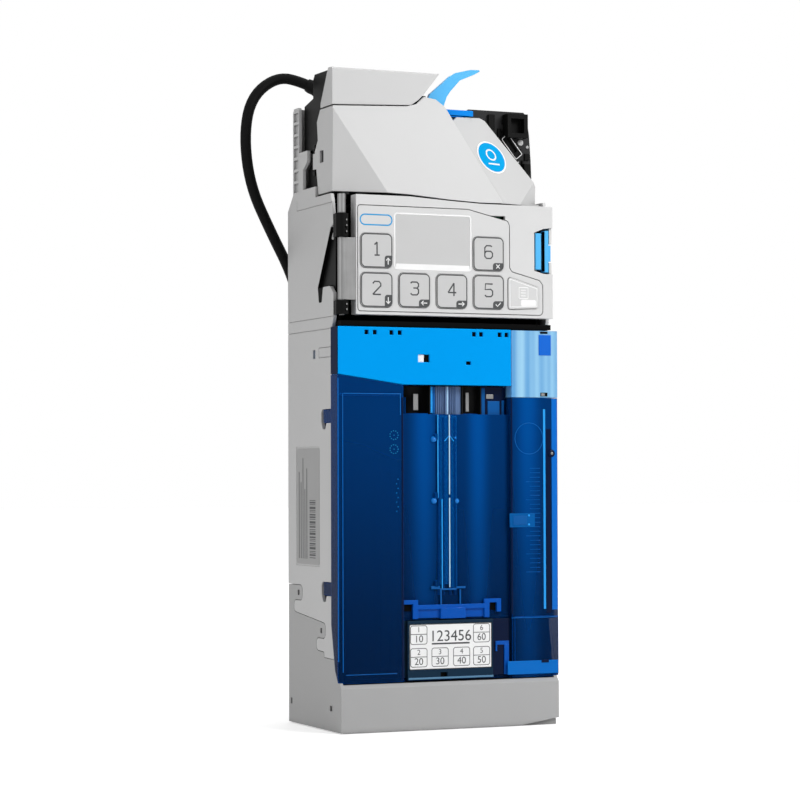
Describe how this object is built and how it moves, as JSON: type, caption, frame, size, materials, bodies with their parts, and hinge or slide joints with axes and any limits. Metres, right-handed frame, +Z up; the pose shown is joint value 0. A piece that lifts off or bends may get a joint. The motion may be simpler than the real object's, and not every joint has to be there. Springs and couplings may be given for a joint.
{
  "type": "coin changer",
  "caption": "Wall-hung coin changer with acceptor, keypad door, pull-out coin tube cassette and payout base.",
  "frame": {"origin": "centre of the housing's footprint, on the surface the base can stand on", "axes": "+Z up, -Y is the front with the keys and the cassette, +X to the right seen from the front"},
  "size_m": [0.1873, 0.1795, 0.38],
  "materials": {
    "housing": "fine satin texture, warm light grey",
    "door_grey": "satin light grey",
    "black_plastic": "satin black",
    "dark_plastic": "satin dark grey",
    "pcb": "solder mask over fibre board",
    "steel": "plain bright steel",
    "blue_clear": "translucent blue, glossy",
    "blue_bright": "bright blue, glossy",
    "blue_pale": "paler blue, glossy",
    "key_white": "satin light grey keys",
    "display": "clear window over a reflective display",
    "label_frame": "teal blue, satin",
    "card": "printed white card",
    "coil_copper": "varnished copper winding in a pot",
    "cord": "black round cord jacket"
  },
  "bodies": {
    "chassis": {"chassis_shell": "housing", "base_cover": "housing", "base_foot": "housing", "foot_screws": "steel", "payout_deck": "dark_plastic", "payout_motors": "black_plastic", "main_board": "pcb", "separator_body": "dark_plastic", "solenoids": "black_plastic", "hinge_knuckles": "black_plastic", "hinge_pin": "steel", "acceptor_frame": "black_plastic", "acceptor_cap": "housing", "acceptor_plate": "dark_plastic", "acceptor_board": "pcb", "board_connectors": "dark_plastic", "coin_funnel": "blue_bright", "deck_pin": "steel", "cable_gland": "cord", "cable": "cord", "cable_coil": "cord", "cable_connector": "black_plastic"},
    "keypad_door": {"door_frame": "door_grey", "hinge_leaf": "steel", "keypad_panel": "door_grey", "display_lens": "display", "door_electronics": "black_plastic"},
    "door_latch": {"door_latch": "blue_pale"},
    "menu_key": {"menu_key": "key_white"},
    "cassette": {"cassette_body": "blue_clear", "cassette_cover": "blue_bright", "cassette_end_cap": "blue_bright", "middle_panel": "blue_clear", "label_holder": "label_frame", "label_card": "card", "coin_tube_1": "blue_clear", "coin_tube_2": "blue_clear", "coin_tube_3": "blue_clear", "coin_tube_4": "blue_clear", "coin_tube_5": "blue_clear", "coin_tube_6": "blue_clear"},
    "cassette_latch": {"cassette_latch": "blue_bright"},
    "return_lever": {"return_lever": "blue_pale"},
    "flight_deck": {"flight_deck": "blue_clear", "sensor_coils": "coil_copper"},
    "acceptor_cover": {"acceptor_cover": "housing", "acceptor_side_panel": "housing"},
    "release_lever": {"release_lever": "black_plastic"},
    "accept_gate": {"accept_gate": "blue_bright"},
    "key_1": {"key_1": "key_white"},
    "key_2": {"key_2": "key_white"},
    "key_3": {"key_3": "key_white"},
    "key_4": {"key_4": "key_white"},
    "key_5": {"key_5": "key_white"},
    "key_6": {"key_6": "key_white"},
    "payout_cam_1": {"payout_cam_1": "blue_bright"},
    "payout_cam_2": {"payout_cam_2": "blue_bright"},
    "payout_cam_3": {"payout_cam_3": "blue_bright"},
    "sorter_gate_1": {"sorter_gate_1": "blue_bright"},
    "sorter_gate_2": {"sorter_gate_2": "blue_bright"}
  },
  "joints": [
    {"name": "door_hinge", "type": "hinge", "parent": "chassis", "child": "keypad_door", "pos_m": [-0.0651, -0.0355, 0.267], "axis": [0, 0, -1], "range_deg": [0, 100]},
    {"name": "door_latch_turn", "type": "hinge", "parent": "keypad_door", "child": "door_latch", "pos_m": [0.057, -0.0336, 0.2737], "axis": [0, 0, -1], "range_deg": [0, 15], "stiffness_Nm_per_rad": 0.02},
    {"name": "menu_key_press", "type": "slide", "parent": "keypad_door", "child": "menu_key", "axis": [0, 1, 0], "range_m": [0, 0.0006], "stiffness_N_per_m": 600},
    {"name": "cassette_slide", "type": "slide", "parent": "chassis", "child": "cassette", "axis": [0, -1, 0], "range_m": [0, 0.095]},
    {"name": "cassette_latch_lift", "type": "slide", "parent": "cassette", "child": "cassette_latch", "axis": [0, 0, 1], "range_m": [0, 0.003], "stiffness_N_per_m": 400},
    {"name": "return_lever_turn", "type": "hinge", "parent": "chassis", "child": "return_lever", "pos_m": [-0.012, -0.0192, 0.3474], "axis": [0, 1, 0], "range_deg": [0, 8], "stiffness_Nm_per_rad": 0.1},
    {"name": "flight_deck_swing", "type": "hinge", "parent": "chassis", "child": "flight_deck", "pos_m": [-0.055, -0.0142, 0.33], "axis": [0, 0, -1], "range_deg": [0, 4]},
    {"name": "cover_hinge", "type": "hinge", "parent": "chassis", "child": "acceptor_cover", "pos_m": [-0.0654, 0.0028, 0.3245], "axis": [0, 0, -1], "range_deg": [0, 80]},
    {"name": "release_lever_turn", "type": "hinge", "parent": "chassis", "child": "release_lever", "pos_m": [-0.0649, -0.0245, 0.2793], "axis": [1, 0, 0], "range_deg": [0, 10], "stiffness_Nm_per_rad": 0.02},
    {"name": "accept_gate_turn", "type": "hinge", "parent": "chassis", "child": "accept_gate", "pos_m": [0.022, -0.0113, 0.309], "axis": [0, 1, 0], "range_deg": [-12, 12], "stiffness_Nm_per_rad": 0.002},
    {"name": "key_1_press", "type": "slide", "parent": "keypad_door", "child": "key_1", "axis": [0, 1, 0], "range_m": [0, 0.0006], "stiffness_N_per_m": 600},
    {"name": "key_2_press", "type": "slide", "parent": "keypad_door", "child": "key_2", "axis": [0, 1, 0], "range_m": [0, 0.0006], "stiffness_N_per_m": 600},
    {"name": "key_3_press", "type": "slide", "parent": "keypad_door", "child": "key_3", "axis": [0, 1, 0], "range_m": [0, 0.0006], "stiffness_N_per_m": 600},
    {"name": "key_4_press", "type": "slide", "parent": "keypad_door", "child": "key_4", "axis": [0, 1, 0], "range_m": [0, 0.0006], "stiffness_N_per_m": 600},
    {"name": "key_5_press", "type": "slide", "parent": "keypad_door", "child": "key_5", "axis": [0, 1, 0], "range_m": [0, 0.0006], "stiffness_N_per_m": 600},
    {"name": "key_6_press", "type": "slide", "parent": "keypad_door", "child": "key_6", "axis": [0, 1, 0], "range_m": [0, 0.0006], "stiffness_N_per_m": 600},
    {"name": "payout_cam_1_turn", "type": "hinge", "parent": "chassis", "child": "payout_cam_1", "pos_m": [-0.048, 0, 0.0221], "axis": [0, 0, 1], "continuous": true},
    {"name": "payout_cam_2_turn", "type": "hinge", "parent": "chassis", "child": "payout_cam_2", "pos_m": [0.003, 0.006, 0.0221], "axis": [0, 0, 1], "continuous": true},
    {"name": "payout_cam_3_turn", "type": "hinge", "parent": "chassis", "child": "payout_cam_3", "pos_m": [0.049, 0, 0.0221], "axis": [0, 0, 1], "continuous": true},
    {"name": "sorter_gate_1_turn", "type": "hinge", "parent": "chassis", "child": "sorter_gate_1", "pos_m": [-0.016, -0.0055, 0.2551], "axis": [0, 1, 0], "range_deg": [-20, 20], "stiffness_Nm_per_rad": 0.003},
    {"name": "sorter_gate_2_turn", "type": "hinge", "parent": "chassis", "child": "sorter_gate_2", "pos_m": [0.018, -0.0055, 0.2481], "axis": [0, 1, 0], "range_deg": [-20, 20], "stiffness_Nm_per_rad": 0.003}
  ],
  "couplings": [
    {"joint": "flight_deck_swing", "follows": "return_lever_turn", "ratio": 0.5}
  ]
}
